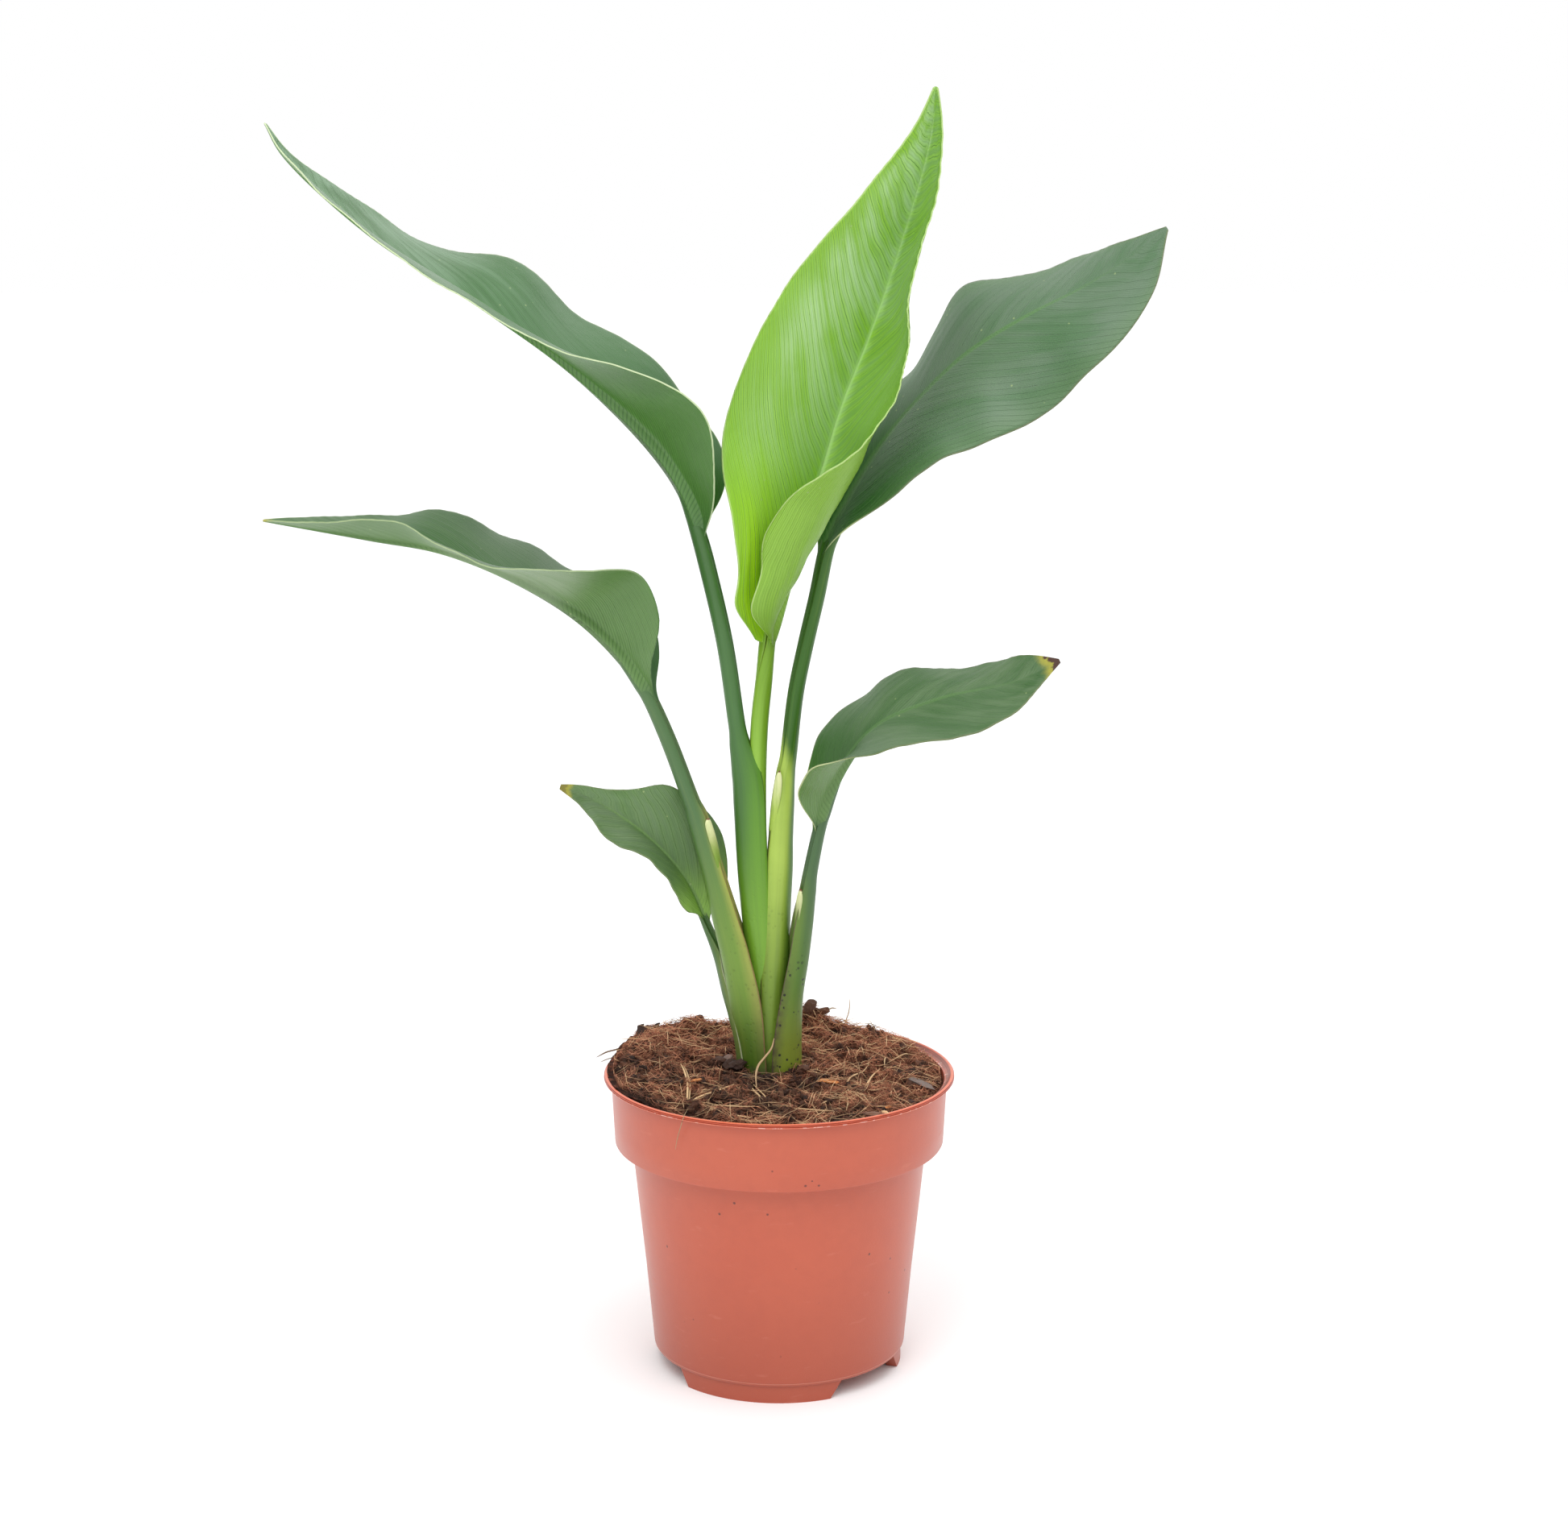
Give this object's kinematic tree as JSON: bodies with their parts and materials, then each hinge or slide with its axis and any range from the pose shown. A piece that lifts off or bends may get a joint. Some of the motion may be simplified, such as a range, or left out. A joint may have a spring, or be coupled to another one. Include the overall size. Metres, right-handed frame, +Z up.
{
  "type": "potted bird of paradise",
  "caption": "Young bird of paradise house plant in a round plastic nursery pot, with long-stalked leaves that fan out in one plane above coir soil.",
  "frame": {"origin": "the pot's axis at floor level", "axes": "+Z up along the pot's axis, +X to the right and -Y to the front of the leaf fan"},
  "size_m": [0.2939, 0.12, 0.4293],
  "materials": {
    "pot": "satin",
    "soil": "matte",
    "roots": "matte",
    "young_blade": "satin",
    "young_stalk": "satin",
    "blade": "satin",
    "stalk": "satin"
  },
  "bodies": {
    "root": {"pot": "pot", "soil": "soil", "crown_and_roots": "roots", "centre_stalk": "young_stalk", "centre_blade": "young_blade", "upper_left_stalk": "stalk", "upper_left_blade": "blade", "upper_right_stalk": "stalk", "upper_right_blade": "blade", "middle_left_stalk": "stalk", "middle_left_blade": "blade", "low_right_stalk": "stalk", "low_right_blade": "blade", "low_left_stalk": "stalk", "low_left_blade": "blade"}
  },
  "joints": []
}
